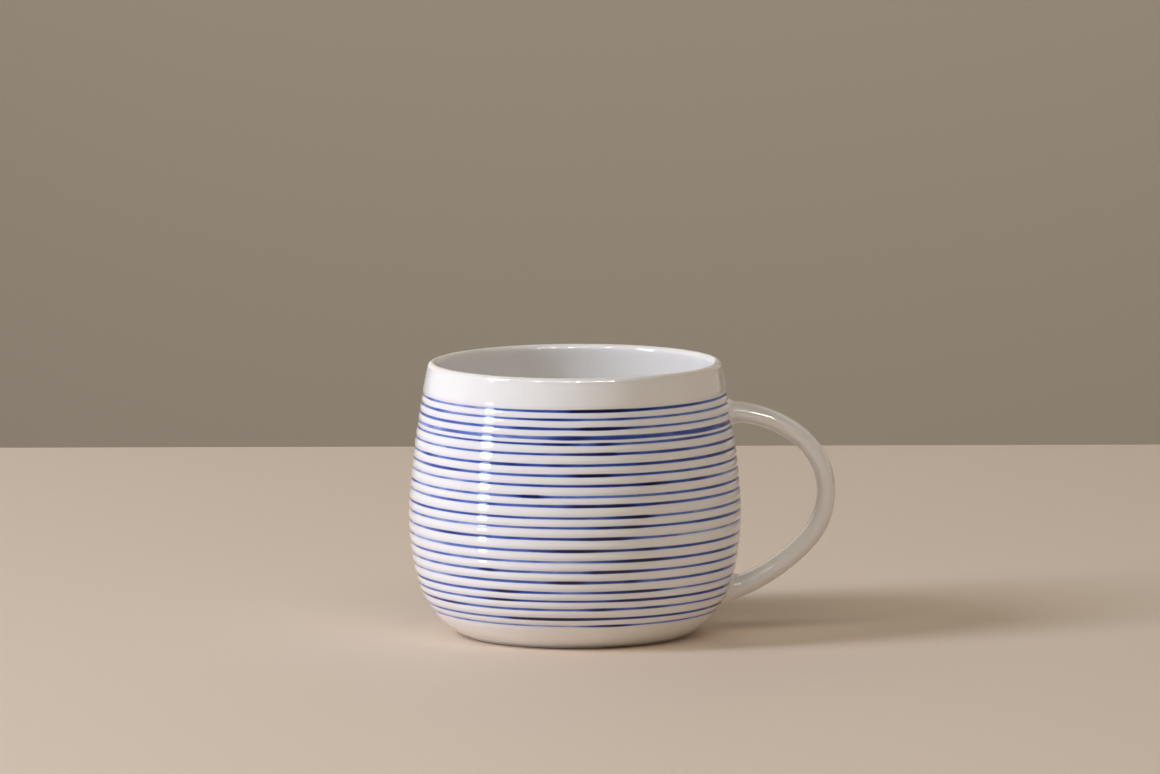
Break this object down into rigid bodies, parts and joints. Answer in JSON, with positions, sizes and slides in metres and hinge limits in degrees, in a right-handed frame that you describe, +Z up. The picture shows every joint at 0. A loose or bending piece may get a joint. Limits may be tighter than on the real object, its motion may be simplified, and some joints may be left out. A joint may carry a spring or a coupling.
{
  "type": "mug",
  "caption": "Round-bellied stoneware mug with one oval strap handle, a low foot ring and thin blue bands round a white glazed wall.",
  "frame": {"origin": "on the mug's axis, at the plane that its foot ring rests on", "axes": "+Z up along the mug's axis, +X towards the handle, XZ is the mug's plane of symmetry"},
  "size_m": [0.1282, 0.1, 0.082],
  "materials": {
    "white_glaze": "glossy off-white glaze over a pale stoneware body",
    "blue_slip": "brushed cobalt slip under clear glaze"
  },
  "bodies": {
    "root": {"mug_body": "white_glaze", "handle": "white_glaze", "upper_handle_joint": "white_glaze", "lower_handle_joint": "white_glaze", "blue_band_01": "blue_slip", "blue_band_02": "blue_slip", "blue_band_03": "blue_slip", "blue_band_04": "blue_slip", "blue_band_05": "blue_slip", "blue_band_06": "blue_slip", "blue_band_07": "blue_slip", "blue_band_08": "blue_slip", "blue_band_09": "blue_slip", "blue_band_10": "blue_slip", "blue_band_11": "blue_slip", "blue_band_12": "blue_slip", "blue_band_13": "blue_slip", "blue_band_14": "blue_slip", "blue_band_15": "blue_slip", "blue_band_16": "blue_slip", "blue_band_17": "blue_slip", "blue_band_18": "blue_slip", "blue_band_19": "blue_slip", "blue_band_20": "blue_slip", "blue_band_21": "blue_slip", "blue_band_22": "blue_slip", "blue_band_23": "blue_slip"}
  },
  "joints": []
}
